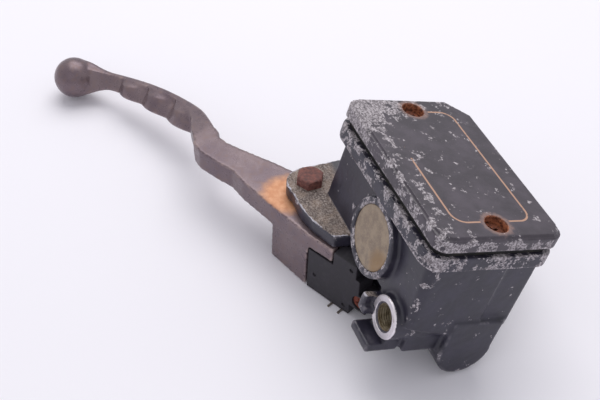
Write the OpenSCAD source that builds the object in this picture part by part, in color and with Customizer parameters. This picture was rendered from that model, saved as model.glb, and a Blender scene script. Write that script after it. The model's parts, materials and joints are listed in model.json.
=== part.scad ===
/* [Reservoir] */
// Half length of the cap along the handlebar
cap_half_x = 38.8; // [37:0.2:41]
// Half width of the cap
cap_half_y = 24.5; // [24:0.1:26]
// Thickness of the cap
cap_t = 6; // [5:0.5:6]
// Lean of the reservoir back towards the rider, in degrees
res_tilt = 15; // [14:0.5:16]
// Thickness of the cast reservoir walls
wall_t = 3; // [2.5:0.25:3.5]
// Distance of each cap screw from the cap's middle
cap_screw_x = 32.6; // [31.5:0.1:33]
// Visible radius of the round windows
window_r = 12.3; // [11:0.1:12.6]

/* [Cylinder] */
// Radius of the hydraulic bore
bore_r = 7; // [6:0.1:7.2]
// Outer radius of the cast cylinder
cyl_r = 11; // [10.5:0.25:11.5]
// Wall radius of the banjo bolt's M10 thread
port_r = 5; // [4.5:0.1:5.2]
// Outer radius of the machined banjo seat
port_seat_r = 8.1; // [7.5:0.1:8.5]

/* [Lever] */
// Thickness of the lever arm
arm_t = 10; // [8:0.5:10]
// Radius of the ball at the lever's tip
ball_r = 9.6; // [8.5:0.1:9.8]
// Droop of the finger blade below the arm, in degrees
blade_droop = 7.8; // [6:0.2:8]
// Radius of the pivot bush
bush_r = 5; // [4.5:0.25:5.5]
// Radius of the pivot bolt's shank, M6
bolt_r = 3; // [2.5:0.5:3]

/* [Handlebar clamp] */
// Radius of the handlebar, 22.2 mm tube
bar_r = 11.1; // [11:0.05:12.7]
// Width of the clamp along the handlebar
clamp_w = 24; // [20:1:24]
// Height of each clamp bolt above or below the bar's middle
clamp_bolt_z = 15.5; // [15:0.5:15.5]

/* [Hidden] */
$fn = 64;

// Middle of the cap's top face
res_at = [-17, 25, 49.5];
// Levels in the reservoir's own leaning frame, whose zero is the cap's top face
gap_z = -cap_t;
flange_top = gap_z - 2.8;
flange_bottom = flange_top - 6;
rim_grow = 1;
wall_front = 22.5;
wall_rear = -24;
wall_left = -38;
wall_right = 36.3;
window_x = -5.5;
window_z = -29.5;
rear_window_x = -10;
rear_window_r = 10;
front_face = wall_front + 3;
rear_face = wall_rear - 2;
seal_w = 1.6;
lens_t = 4;
window_rim = 2.6;
rear_window_rim = 2.2;
post_r = 4.2;
screw_r = 1.95;
screw_head_r = 3.9;
screw_head_t = 2;
cap_floor = 1;
screw_seat = -cap_t + cap_floor;
screw_hole_r = 4.2;
relief_x = [-20, -12];

// Cylinder: its axis runs along +X, level with the lever's cam
cyl_y = 30.7;
cyl_z = -8.5;
cyl_left = -56;
cyl_right = 9;
bore_left = -50;
mouth_x = 3;
mouth_r = 8.4;
piston_left = -30;
piston_right = 17;
piston_r = bore_r - 0.05;
rod_r = 5;
land_x = -2;
cup_t = 4;
cup_web = 1.6;
cup_lip = 1.6;
spring_wire = 0.6;
spring_left = bore_left + 0.7;
spring_right = piston_left - cup_web - spring_wire - 0.15;

// Banjo port in the reservoir's leaning frame
port_x = -28.6;
port_z = -46.4;
port_face = 24.5;
port_depth = 13;
feed_r = 1.5;

// Lever pivot and the levels of the two ears
pivot = [27, 60.7];
ear_top = 13.5;
ear_t = 6;
slot_top = ear_top - ear_t;
slot_bottom = -12.1;
low_ear_t = 5;
floor_z = -21;
run_gap = 0.3;
hub_top = slot_top - run_gap;
hub_bottom = slot_bottom + run_gap;
arm_bottom = hub_top - arm_t;
hub_r = 9;
nose_r = 5;
nose_at = [22.3, 31];
blade_at = [78, 88];
blade_yaw = 28.3;
blade_t = 8;
blade_len = 91.5;
head_h = 4;
hex_r = 5.7;
hex_turn = 2;
nut_h = 3.4;
bolt_end = -20.8;

// Brake light switch: its face lies this far round from the handlebar
switch_at = [4, 69.4];
switch_yaw = 27;
switch_len = 30;
switch_depth = 9;
switch_bottom = -20.4;
switch_top = slot_top - 0.4;
tongue_h = 6.2;
notch_z = hub_top - tongue_h - 0.6;
notch_len = 12.5;
plunger_r = 1.8;
plunger_x = -9;
plunger_z = 4.1;
plunger_seat = -14;
plunger_back = -11;
tower_back = 15.5;
// Screw at the switch's inboard end, and the lug on the casting that it goes into
screw_x = 3.5 - switch_len;
screw_z = -11;
lug_w = 7;
lug_gap = 0.1;

clamp_gap = 1;
clamp_bolt_r = 3;
clamp_pad = 11;

module in_reservoir() {
    translate(res_at) rotate([res_tilt, 0, 0]) children();
}

// Lays a shape drawn along +Z onto the +X direction, around the cylinder's axis
module on_cylinder(x) {
    translate([x, cyl_y, cyl_z]) rotate([0, 90, 0]) children();
}

// Lays a shape drawn along +Z onto the +Y direction
module facing_front(x, y, z) {
    translate([x, y, z]) rotate([-90, 0, 0]) children();
}

module at_pivot(z) {
    translate([pivot[0], pivot[1], z]) children();
}

module in_switch() {
    translate([switch_at[0], switch_at[1], 0]) rotate([0, 0, switch_yaw]) children();
}

module rounded_rect(x0, x1, y0, y1, r) {
    translate([x0 + r, y0]) square([x1 - x0 - 2 * r, y1 - y0]);
    translate([x0, y0 + r]) square([x1 - x0, y1 - y0 - 2 * r]);
    for (x = [x0 + r, x1 - r], y = [y0 + r, y1 - r]) translate([x, y]) circle(r);
}

// Outline shared by the cap, the diaphragm and the flange: the rear outboard corner is cut off
module rim_outline(grow) {
    hx = cap_half_x + grow;
    hy = cap_half_y + grow;
    corner_cut = 9;
    difference() {
        rounded_rect(-hx, hx, -hy, hy, 5);
        polygon([[hx + 1, -hy + corner_cut - 1], [hx + 1, -hy - 1], [hx - corner_cut - 1, -hy - 1]]);
    }
}

module ring(outer, inner, h) {
    difference() {
        cylinder(h = h, r = outer);
        translate([0, 0, -1]) cylinder(h = h + 2, r = inner);
    }
}

// Round wire swept along a helix, as one closed mesh
module coil_spring(r, wire, length, turns) {
    sides = 8;
    steps = turns * 16;
    rings = [for (i = [0:steps])
        let (a = 360 * turns * i / steps)
        for (k = [0:sides - 1])
            let (b = 360 * k / sides)
            [(r + wire * cos(b)) * cos(a), (r + wire * cos(b)) * sin(a), length * i / steps + wire * sin(b)]];
    skin = [for (i = [0:steps - 1], k = [0:sides - 1])
        let (n = (k + 1) % sides)
        [i * sides + k, (i + 1) * sides + k, (i + 1) * sides + n, i * sides + n]];
    first_end = [for (k = [0:sides - 1]) k];
    last_end = [for (k = [sides - 1:-1:0]) steps * sides + k];
    polyhedron(rings, concat(skin, [first_end, last_end]));
}

// Side view of the reservoir, with its floor running down to the cylinder
function side_profile(t) = [
    [wall_rear + t, flange_bottom], [wall_front - t, flange_bottom], [21.3 - t, -43.4 + t],
    [2, -48.4 + t], [-9.5, -50 + t], [wall_rear + t, -45 + t]];

module along_x(x0, x1) {
    translate([x0, 0, 0]) rotate([90, 0, 90]) linear_extrude(x1 - x0) children();
}

// Plan of the reservoir's walls, moved inwards by t
module wall_outline(t, corner) {
    rounded_rect(wall_left + t, wall_right - t, wall_rear + t, wall_front - t, corner);
}

module reservoir_outside() {
    intersection() {
        along_x(wall_left, wall_right) polygon(side_profile(0));
        translate([0, 0, -60]) linear_extrude(60) wall_outline(0, 4);
    }
    translate([0, 0, flange_bottom]) linear_extrude(flange_top - flange_bottom) {
        rim_outline(0.9);
        // The flange stands forward of the cap's front edge
        rounded_rect(-cap_half_x - 0.9, cap_half_x + 0.9, 0, cap_half_y + 1.6, 7);
    }
    // Bosses that hold the two windows
    facing_front(window_x, wall_front - 3, window_z)
        cylinder(h = front_face - wall_front + 3, r = window_r + window_rim);
    facing_front(rear_window_x, rear_face, window_z) cylinder(h = 5, r = rear_window_r + rear_window_rim);
}

module reservoir_inside() {
    difference() {
        union() {
            intersection() {
                along_x(wall_left + wall_t, wall_right - wall_t) polygon(side_profile(wall_t));
                translate([0, 0, -60]) linear_extrude(60) wall_outline(wall_t, 3);
            }
            translate([0, 0, flange_bottom - 1]) linear_extrude(10) wall_outline(wall_t, 3);
        }
        // Posts for the cap screws stay solid
        for (x = [-cap_screw_x, cap_screw_x]) translate([x, 0, -30]) cylinder(h = 30, r = post_r);
        for (s = [-1, 1]) translate([s > 0 ? cap_screw_x : -cap_screw_x - 6, -3, -30]) cube([6, 6, 30]);
    }
    for (x = [-cap_screw_x, cap_screw_x]) translate([x, 0, -26]) cylinder(h = 20, r = screw_r);
    // Seats and light openings of the windows
    facing_front(window_x, wall_front - 6, window_z) cylinder(h = 20, r = window_r - 2.5);
    facing_front(window_x, front_face - lens_t, window_z) cylinder(h = 20, r = window_r);
    facing_front(rear_window_x, rear_face - 1, window_z) cylinder(h = 8, r = rear_window_r - 2.5);
    facing_front(rear_window_x, rear_face - 1, window_z) cylinder(h = lens_t + 1, r = rear_window_r);
    // Breather and relief drillings down to the bore
    for (x = relief_x) translate([x, -9.5, -58]) cylinder(h = 12, r = 1);
}

module banjo_port_solid() {
    facing_front(port_x, 0, port_z) cylinder(h = port_face, r = port_seat_r);
    translate([port_x - 7, -14, -58]) cube([14, 30, 12]);
    // Stops that keep the banjo fitting from turning
    translate([port_x - 4, port_face - 6, port_z - 13.4]) cube([13, 11, 3.6]);
    translate([port_x - 4, port_face - 8, port_z - 13.4]) cube([11, 6, 9]);
    translate([port_x + 6.5, port_face - 8, port_z - 5]) cube([5, 12, 3]);
    translate([port_x + 8.5, port_face - 8, port_z - 5]) cube([3, 12, 7]);
}

module banjo_port_hole() {
    facing_front(port_x, port_face - port_depth, port_z) cylinder(h = port_depth + 1, r = port_r);
    translate([port_x, port_face - port_depth + 1, port_z]) rotate([114, 0, 0]) cylinder(h = 19, r = feed_r);
}

module upper_ear_outline() {
    translate(pivot) circle(9.4);
    polygon([[35.6, 30], [36.4, 60.7], [29, 69.6], [13, 69.3], [5.5, 67.8], [-5, 63.4], [-6.5, 56],
             [-6.5, 34], [10, 30]]);
}

module lower_ear_outline() {
    translate(pivot) circle(8.4);
    difference() {
        polygon([[35.3, 30.7], [35.3, 60.7], [19, 63], [13, 54], [2, 50], [2, 24], [33, 24]]);
        // Opening under the dust boot and the piston's end
        translate([cyl_right, 20]) square([9.5, cyl_y - 20 + 8.9]);
    }
}

module ears() {
    translate([0, 0, slot_top]) linear_extrude(ear_t) upper_ear_outline();
    translate([0, 0, slot_bottom - low_ear_t]) linear_extrude(low_ear_t) lower_ear_outline();
    // Web from the upper ear down to the cylinder, behind the lever's cam
    translate([-6.5, 33, -8]) cube([15.4, 13.5, 18]);
}

module clamp_saddle() {
    translate([-clamp_w / 2, clamp_gap / 2, -11]) cube([clamp_w, 24, 17]);
    for (s = [-1, 1]) translate([-clamp_w / 2, clamp_gap / 2, s * clamp_bolt_z - clamp_pad / 2])
        cube([clamp_w, 17, clamp_pad]);
    translate([-clamp_w / 2, clamp_gap / 2, -clamp_bolt_z - clamp_pad / 2])
        cube([clamp_w, 14, 2 * clamp_bolt_z]);
}

module body() {
    color([0.16, 0.16, 0.18])
    difference() {
        union() {
            in_reservoir() {
                reservoir_outside();
                banjo_port_solid();
                // Square shoulder that joins the closed end of the cylinder to the reservoir
                translate([-39, -20.3, -57.5]) cube([30, 21.6, 15.5]);
            }
            on_cylinder(cyl_left) cylinder(h = cyl_right - cyl_left, r = cyl_r);
            ears();
            clamp_saddle();
            in_switch() translate([screw_x - lug_w / 2, -20, screw_z - lug_w / 2])
                cube([lug_w, 20 - switch_depth - lug_gap, lug_w]);
        }
        in_reservoir() {
            reservoir_inside();
            banjo_port_hole();
            // The rear of the inboard wall stands back a little above the cylinder
            translate([-40, -30, -42]) cube([2.9, 20.7, 42 + flange_bottom]);
        }
        on_cylinder(bore_left) cylinder(h = cyl_right - bore_left + 1, r = bore_r);
        on_cylinder(mouth_x) cylinder(h = cyl_right - mouth_x + 1, r = mouth_r);
        // Room for the lever's cam in front of the cylinder's mouth
        translate([cyl_right, cyl_y - 14, slot_bottom]) cube([40, 50, slot_top - slot_bottom]);
        translate([-clamp_w / 2 - 20, 0, 0]) rotate([0, 90, 0]) cylinder(h = clamp_w + 40, r = bar_r);
        at_pivot(-30) cylinder(h = 60, r = bolt_r);
        for (s = [-1, 1]) facing_front(0, -1, s * clamp_bolt_z) cylinder(h = 15, r = clamp_bolt_r);
        in_switch() facing_front(screw_x, -15, screw_z) cylinder(h = 10, r = 2);
    }
}

module reservoir_cap() {
    color([0.13, 0.13, 0.15])
    in_reservoir() difference() {
        union() {
            translate([0, 0, gap_z]) linear_extrude(cap_t - 1) rim_outline(rim_grow);
            translate([0, 0, -1.2]) linear_extrude(1.2) rim_outline(0);
        }
        for (x = [-cap_screw_x, cap_screw_x]) translate([x, 0, 0]) {
            translate([0, 0, -cap_t - 1]) cylinder(h = cap_t + 2, r = screw_r + 0.25);
            translate([0, 0, screw_seat]) cylinder(h = cap_t, r = screw_hole_r);
        }
    }
}

module cap_screws() {
    color([0.50, 0.25, 0.12])
    in_reservoir() for (x = [-cap_screw_x, cap_screw_x]) translate([x, 0, 0]) difference() {
        union() {
            translate([0, 0, screw_seat]) cylinder(h = screw_head_t, r = screw_head_r);
            translate([0, 0, -18]) cylinder(h = 18 + screw_seat + 0.5, r = screw_r);
        }
        for (a = [0, 90]) rotate([0, 0, a + 20]) translate([-2.4, -0.5, screw_seat + 1]) cube([4.8, 1, 3]);
    }
}

module diaphragm_plate() {
    color([0.45, 0.45, 0.42])
    in_reservoir() translate([0, 0, gap_z - 1]) linear_extrude(1) difference() {
        rounded_rect(-28, 28, -19, 19, 4);
        circle(3);
    }
}

module diaphragm() {
    color([0.05, 0.05, 0.05])
    in_reservoir() difference() {
        union() {
            translate([0, 0, flange_top]) linear_extrude(gap_z - flange_top) rim_outline(-0.8);
            translate([0, 0, -18]) linear_extrude(18 + flange_top) rounded_rect(-25, 25, -17, 17, 4);
        }
        translate([0, 0, -16.5]) linear_extrude(20) rounded_rect(-23.5, 23.5, -15.5, 15.5, 3);
        translate([0, 0, gap_z - 1]) linear_extrude(2) rounded_rect(-28, 28, -19, 19, 4);
        for (x = [-cap_screw_x, cap_screw_x]) translate([x, 0, -20]) cylinder(h = 20, r = 2.2);
    }
}

module splash_plate() {
    color([0.6, 0.6, 0.58])
    in_reservoir() difference() {
        union() {
            translate([-26, -15, -44.4]) cube([18, 11, 1]);
            for (x = [-26, -9]) translate([x, -5, -46]) cube([1, 1, 2]);
        }
        for (x = [-23, -17, -11]) translate([x, -9, -46]) cylinder(h = 3, r = 1.5);
    }
}

module front_window() {
    color([0.65, 0.60, 0.48])
    in_reservoir() facing_front(window_x, front_face - lens_t + 1, window_z)
        cylinder(h = lens_t - 1.4, r = window_r);
}

module rear_window() {
    color([0.72, 0.68, 0.56])
    in_reservoir() facing_front(rear_window_x, rear_face + 0.4, window_z)
        cylinder(h = lens_t - 1.4, r = rear_window_r);
}

module window_seals() {
    color([0.04, 0.04, 0.04])
    in_reservoir() {
        facing_front(window_x, front_face - lens_t, window_z) ring(window_r, window_r - seal_w, 1);
        facing_front(rear_window_x, rear_face + lens_t - 1, window_z)
            ring(rear_window_r, rear_window_r - seal_w, 1);
    }
}

module piston() {
    color([0.75, 0.74, 0.70])
    on_cylinder(0) difference() {
        union() {
            translate([0, 0, piston_left]) cylinder(h = 3, r = piston_r);
            translate([0, 0, piston_left + 2]) cylinder(h = piston_right - piston_left - 2, r = 4);
            translate([0, 0, land_x]) cylinder(h = mouth_x - land_x, r = piston_r);
            translate([0, 0, mouth_x - 1]) cylinder(h = piston_right - mouth_x + 1, r = rod_r);
        }
        // Groove that holds the boot's lip
        translate([0, 0, 13.4]) ring(rod_r + 1, rod_r - 0.7, 1.4);
    }
}

module primary_cup() {
    color([0.06, 0.06, 0.06])
    on_cylinder(piston_left - cup_t) difference() {
        cylinder(h = cup_t, r = piston_r);
        translate([0, 0, -1]) cylinder(h = cup_t - cup_web + 1, r = piston_r - cup_lip);
    }
}

module secondary_cup() {
    color([0.06, 0.06, 0.06])
    on_cylinder(land_x - cup_t) ring(piston_r, 4, cup_t);
}

module return_spring() {
    color([0.7, 0.7, 0.72])
    on_cylinder(spring_left) coil_spring(4.4, spring_wire, spring_right - spring_left, 6);
}

module stop_washer() {
    color([0.7, 0.7, 0.7])
    on_cylinder(mouth_x + 0.05) ring(mouth_r, rod_r + 0.1, 1);
}

module circlip() {
    color([0.3, 0.3, 0.32])
    on_cylinder(mouth_x + 1.1) difference() {
        ring(mouth_r, mouth_r - 1.6, 1.1);
        translate([0, -1.5, -1]) cube([12, 3, 4]);
    }
}

// Bellows between the cylinder's mouth and the groove near the piston's end
module dust_boot() {
    color([0.04, 0.04, 0.045])
    on_cylinder(0) rotate_extrude() polygon([
        [5.6, 5.6], [mouth_r - 0.1, 5.6], [mouth_r - 0.1, 9], [7, 9.8], [7.8, 10.9], [6.4, 12], [7, 12.9],
        [5.4, 14.6], [4.5, 14.6], [4.5, 13.6], [5.5, 13.4], [6, 12.9], [5.5, 12], [6.6, 10.9], [5.9, 9.8],
        [6.9, 8.6],
        [6.9, 6.6], [5.6, 6.6]]);
}

module lever_plan() {
    translate(pivot) circle(hub_r);
    polygon([[4.2, 69.6], [23.6, 76.9], [41.7, 83.8], [50.3, 85.8], [58, 90.6], [66.4, 95], [73, 96],
             [82, 93.4], [81, 84], [73.3, 84.3], [68.4, 82.4], [60.6, 76.5], [49.3, 67.2], [40, 60.5],
             [27, 52.2], [18.4, 58.4]]);
}

// Finger blade, drawn along its own chord from the dog-leg to the ball
module blade_plan() {
    polygon([[-5, -3], [0, -5], [8.6, -8.7], [18, -11.2], [28, -12.8], [44, -13.2], [60, -11.8],
             [76, -8.6], [blade_len, -5], [blade_len, 3], [80, -2], [72, -3.4], [58, -3.6], [44, -3.2],
             [28, -2], [12, 2.2], [0, 5]]);
}

module cam_plan() {
    polygon([[18.2, 60], [17.6, 33], [nose_at[0], nose_at[1] - nose_r + 0.2], [28, 31], [36, 59]]);
    translate(nose_at) circle(nose_r);
}

module lever() {
    color([0.44, 0.37, 0.38])
    difference() {
        union() {
            at_pivot(hub_bottom) cylinder(h = hub_top - hub_bottom, r = hub_r);
            translate([0, 0, arm_bottom]) linear_extrude(arm_t) lever_plan();
            translate([0, 0, hub_bottom]) linear_extrude(hub_top - hub_bottom - 6) cam_plan();
            // Deep knuckle in front of the pivot, and the tongue that rests on the switch plunger
            translate([0, 0, floor_z]) linear_extrude(hub_top - floor_z)
                polygon([[5.2, 69.8], [25.5, 77], [28.6, 70.4], [8.6, 63.4]]);
            translate([0, 0, hub_top - tongue_h]) linear_extrude(tongue_h)
                polygon([[5, 69.9], [-6.4, 64], [-4.4, 59.9], [10, 64]]);
            translate([blade_at[0], blade_at[1], arm_bottom + arm_t / 2]) rotate([0, 0, blade_yaw])
                rotate([0, blade_droop, 0]) {
                    translate([0, 0, -blade_t / 2]) linear_extrude(blade_t) blade_plan();
                    translate([blade_len, 0, 0]) sphere(ball_r);
                }
        }
        at_pivot(-30) cylinder(h = 60, r = bush_r + 0.05);
        // The knuckle clears the lower ear and its nut over the whole travel
        at_pivot(-30) cylinder(h = 30 + hub_bottom, r = 9);
    }
}

module pivot_bush() {
    color([0.65, 0.55, 0.3])
    at_pivot(slot_bottom) ring(bush_r, bolt_r, slot_top - slot_bottom);
}

module pivot_bolt() {
    color([0.40, 0.22, 0.17])
    at_pivot(0) {
        translate([0, 0, ear_top]) rotate([0, 0, hex_turn]) cylinder(h = head_h, r = hex_r, $fn = 6);
        translate([0, 0, bolt_end]) cylinder(h = ear_top - bolt_end, r = bolt_r);
    }
}

module pivot_lock_nut() {
    color([0.45, 0.40, 0.34])
    at_pivot(slot_bottom - low_ear_t - nut_h) difference() {
        cylinder(h = nut_h, r = hex_r, $fn = 6);
        translate([0, 0, -1]) cylinder(h = nut_h + 2, r = bolt_r);
    }
}

module switch_housing() {
    color([0.10, 0.10, 0.11])
    in_switch() difference() {
        union() {
            translate([-switch_len, -switch_depth, -15]) cube([switch_len, switch_depth, notch_z + 15]);
            translate([-switch_len + 8, -switch_depth, switch_bottom])
                cube([switch_len - 8, switch_depth, 6]);
            translate([-switch_len + 6, -switch_depth, 0])
                cube([switch_len - 6 - notch_len, switch_depth, switch_top]);
            // Plunger tower behind the lever's tongue
            translate([-notch_len - 3, -tower_back, -8]) cube([11, tower_back - 7, switch_top + 8]);
        }
        // Room above the screw lug
        translate([-switch_len - 1, -switch_depth - 1, -7]) cube([5, switch_depth + 2, 30]);
        facing_front(screw_x, -switch_depth - 1, screw_z) cylinder(h = switch_depth + 2, r = 2.1);
        facing_front(screw_x, -3, screw_z) cylinder(h = 4, r = 3.4);
        // Bore of the plunger
        facing_front(plunger_x, plunger_seat, plunger_z) cylinder(h = 9, r = plunger_r + 0.08);
        facing_front(plunger_x, plunger_seat, plunger_z) cylinder(h = 6.4, r = plunger_r + 0.6);
        for (d = [[-3.6, -11.7], [-21.5, 3.6], [-19.1, -17.4]])
            facing_front(d[0], -0.8, d[1]) cylinder(h = 2, r = 0.9);
    }
}

module switch_plunger() {
    color([0.75, 0.72, 0.62])
    in_switch() {
        facing_front(plunger_x, plunger_back, plunger_z) cylinder(h = 5, r = plunger_r);
        facing_front(plunger_x, plunger_back, plunger_z) cylinder(h = 0.8, r = plunger_r + 0.5);
    }
}

module plunger_spring() {
    color([0.7, 0.7, 0.72])
    in_switch() facing_front(plunger_x, plunger_seat + 0.3, plunger_z)
        coil_spring(1.3, 0.2, plunger_back - plunger_seat - 0.6, 4);
}

module switch_terminals() {
    color([0.55, 0.50, 0.42])
    in_switch() for (x = [-19, -14])
        translate([x, -5, floor_z]) cube([0.8, 7.4, switch_bottom - floor_z]);
}

module switch_screw() {
    color([0.55, 0.20, 0.12])
    in_switch() facing_front(screw_x, -3, screw_z) difference() {
        union() {
            cylinder(h = 2.2, r = 3.2);
            translate([0, 0, -10]) cylinder(h = 10.5, r = 2);
        }
        for (a = [0, 90]) rotate([0, 0, a + 30]) translate([-2, -0.4, 1]) cube([4, 0.8, 2]);
    }
}

module handlebar_clamp() {
    color([0.17, 0.17, 0.19])
    difference() {
        union() {
            rotate([0, 90, 0]) translate([0, 0, -clamp_w / 2]) cylinder(h = clamp_w, r = bar_r + 4.4);
            translate([-clamp_w / 2, -8, -clamp_bolt_z - clamp_pad / 2])
                cube([clamp_w, 8, 2 * clamp_bolt_z + clamp_pad]);
        }
        translate([-clamp_w, -clamp_gap / 2, -30]) cube([2 * clamp_w, 60, 60]);
        rotate([0, 90, 0]) translate([0, 0, -clamp_w]) cylinder(h = 2 * clamp_w, r = bar_r);
        for (s = [-1, 1]) facing_front(0, -20, s * clamp_bolt_z) cylinder(h = 30, r = clamp_bolt_r + 0.3);
        // Flats for the washers
        for (s = [-1, 1]) facing_front(0, -20, s * clamp_bolt_z) cylinder(h = 12, r = 5.4);
    }
}

module clamp_bolts() {
    color([0.42, 0.38, 0.35])
    for (s = [-1, 1]) facing_front(0, -9, s * clamp_bolt_z) {
        translate([0, 0, -head_h]) rotate([0, 0, 30]) cylinder(h = head_h, r = 5.2, $fn = 6);
        cylinder(h = 9 + 13.5, r = clamp_bolt_r);
    }
}

module clamp_washers() {
    color([0.55, 0.52, 0.48])
    for (s = [-1, 1]) facing_front(0, -9, s * clamp_bolt_z) ring(5.3, clamp_bolt_r, 1);
}

body();
reservoir_cap();
cap_screws();
diaphragm_plate();
diaphragm();
splash_plate();
front_window();
rear_window();
window_seals();
piston();
primary_cup();
secondary_cup();
return_spring();
stop_washer();
circlip();
dust_boot();
lever();
pivot_bush();
pivot_bolt();
pivot_lock_nut();
switch_housing();
switch_plunger();
plunger_spring();
switch_terminals();
switch_screw();
handlebar_clamp();
clamp_bolts();
clamp_washers();
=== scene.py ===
import json
import math

import bmesh
import bpy
import numpy as np
from mathutils import Matrix, Vector, noise


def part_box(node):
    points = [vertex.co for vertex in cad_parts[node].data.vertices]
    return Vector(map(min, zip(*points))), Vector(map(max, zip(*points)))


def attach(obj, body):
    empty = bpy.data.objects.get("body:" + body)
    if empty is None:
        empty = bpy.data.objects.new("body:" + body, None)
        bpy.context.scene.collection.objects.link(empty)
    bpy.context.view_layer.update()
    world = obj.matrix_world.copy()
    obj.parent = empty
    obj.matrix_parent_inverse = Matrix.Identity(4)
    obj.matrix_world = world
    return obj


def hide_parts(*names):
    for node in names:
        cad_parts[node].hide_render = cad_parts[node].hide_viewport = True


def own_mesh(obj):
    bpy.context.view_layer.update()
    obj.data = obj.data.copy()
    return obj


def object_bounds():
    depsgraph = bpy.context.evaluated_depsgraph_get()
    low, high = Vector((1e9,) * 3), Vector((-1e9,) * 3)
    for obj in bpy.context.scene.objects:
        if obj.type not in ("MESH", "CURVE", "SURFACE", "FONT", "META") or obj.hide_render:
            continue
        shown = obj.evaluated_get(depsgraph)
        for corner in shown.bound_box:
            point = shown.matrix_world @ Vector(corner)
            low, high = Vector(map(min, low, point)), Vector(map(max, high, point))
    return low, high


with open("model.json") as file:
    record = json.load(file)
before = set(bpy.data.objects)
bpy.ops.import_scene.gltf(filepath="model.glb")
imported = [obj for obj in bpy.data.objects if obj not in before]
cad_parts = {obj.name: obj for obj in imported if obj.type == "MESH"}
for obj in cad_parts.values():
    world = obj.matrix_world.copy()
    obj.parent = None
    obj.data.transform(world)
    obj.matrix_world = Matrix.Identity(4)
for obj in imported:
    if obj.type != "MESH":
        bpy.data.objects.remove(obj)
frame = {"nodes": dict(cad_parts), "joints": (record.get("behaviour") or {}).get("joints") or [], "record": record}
cad_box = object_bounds()
nodes = frame["nodes"]
record = frame["record"]
MM = 0.001

# Sizes that the frame does not state, in millimetres
BOLT_HEAD_HEIGHT = 4.0
EAR_AND_GAP = 6.3
SCREW_HEAD_R = 3.9


# ---------------------------------------------------------------- places, read from the frame

def reach(node, axis):
    """Lowest and highest place of a CAD node along an axis, in metres."""
    along = [v.co.dot(axis) for v in nodes[node].data.vertices]
    return min(along), max(along)


mounts = {m["name"]: m for m in record["mounts"]}
joints = {j["name"]: j for j in frame["joints"]}
pivot = Vector(joints["lever_pivot"]["pos_m"])
port_axis = Vector(mounts["banjo_port"]["axis"]).normalized()
port_mouth = Vector(mounts["banjo_port"]["pos_m"])
port_mouth += port_axis * port_axis.dot(Vector(mounts["banjo_seat"]["pos_m"]) - port_mouth)
port_r = mounts["banjo_port"]["dims"]["r_mm"]
port_depth = mounts["banjo_port"]["dims"]["length_mm"]

# The reservoir leans back. Its own frame has its zero at the middle of the cap's top, as the CAD's has
lean = Matrix.Rotation(math.atan2(port_axis.z, port_axis.y), 4, "X")
res_x, res_y, res_z = (lean.col[i].to_3d() for i in range(3))
cap_x, cap_y, cap_z = (reach("reservoir_cap", axis) for axis in (res_x, res_y, res_z))
cap_middle = res_x * (sum(cap_x) / 2) + res_y * (sum(cap_y) / 2) + res_z * cap_z[1]
res_to_row = Matrix.Translation(cap_middle) @ lean
cap_half_x = (cap_x[1] - cap_x[0]) / 2 / MM
cap_half_y = (cap_y[1] - cap_y[0]) / 2 / MM


def in_res(x, y, z):
    """A point of the reservoir's own frame, given in millimetres, in the row frame in metres."""
    return res_to_row @ Vector((x * MM, y * MM, z * MM))


def res_reach(node):
    """Lowest and highest corner of a CAD node in the reservoir's own frame, in millimetres."""
    spans = [reach(node, axis) for axis in (res_x, res_y, res_z)]
    zero = [cap_middle.dot(axis) for axis in (res_x, res_y, res_z)]
    low = [(span[0] - z) / MM for span, z in zip(spans, zero)]
    high = [(span[1] - z) / MM for span, z in zip(spans, zero)]
    return low, high


screw_low, screw_high = res_reach("cap_screws")
screw_x = (screw_high[0] - screw_low[0]) / 2 - SCREW_HEAD_R
window_low, window_high = res_reach("front_window")
window_r = (window_high[0] - window_low[0]) / 2
window_at = [(a + b) / 2 for a, b in zip(window_low, window_high)]
ear_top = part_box("pivot_bolt")[1].z / MM - BOLT_HEAD_HEIGHT
hub_top = ear_top - EAR_AND_GAP


# ---------------------------------------------------------------- materials

def rgb(red, green, blue):
    """A colour as seen on screen, 0 to 255, as the linear one that a shader takes."""
    linear = [((c / 255 + 0.055) / 1.055) ** 2.4 for c in (red, green, blue)]
    return (*linear, 1.0)


def times_colour(colour, factor):
    """A colour made lighter or darker."""
    return (*(c * factor for c in colour[:3]), 1.0)


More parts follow.
